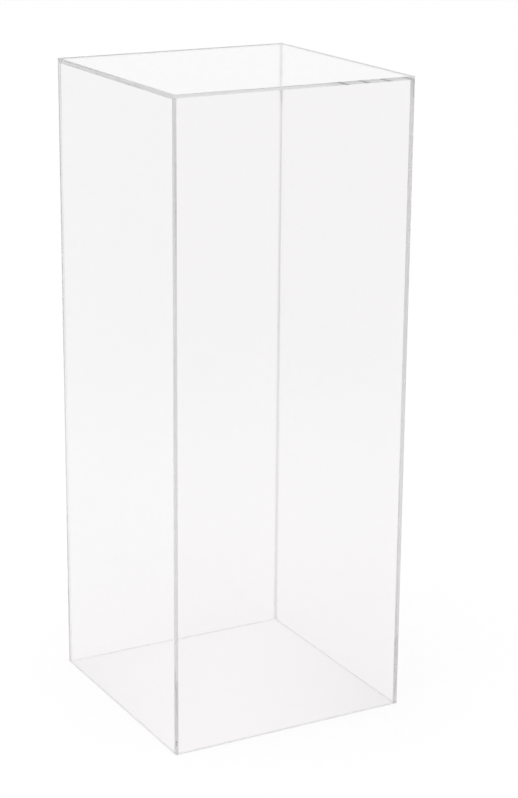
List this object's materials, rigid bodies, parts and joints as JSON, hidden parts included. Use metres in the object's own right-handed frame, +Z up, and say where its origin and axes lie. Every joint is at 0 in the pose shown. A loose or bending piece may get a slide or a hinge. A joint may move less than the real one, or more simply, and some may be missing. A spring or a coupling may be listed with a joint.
{
  "type": "pedestal display case",
  "caption": "Clear acrylic pedestal display case: a tall square box of polished, cemented sheet, closed at the top and open at the bottom.",
  "frame": {"origin": "centre of the footprint, on the surface that the open rim stands on", "axes": "+Z up, front towards -Y, +X to the right seen from the front"},
  "size_m": [0.3, 0.3, 0.762],
  "materials": {
    "clear_acrylic": "clear cast acrylic sheet, glossy faces, polished edges"
  },
  "bodies": {
    "root": {"front_panel": "clear_acrylic", "back_panel": "clear_acrylic", "left_panel": "clear_acrylic", "right_panel": "clear_acrylic", "top_panel": "clear_acrylic"}
  },
  "joints": []
}
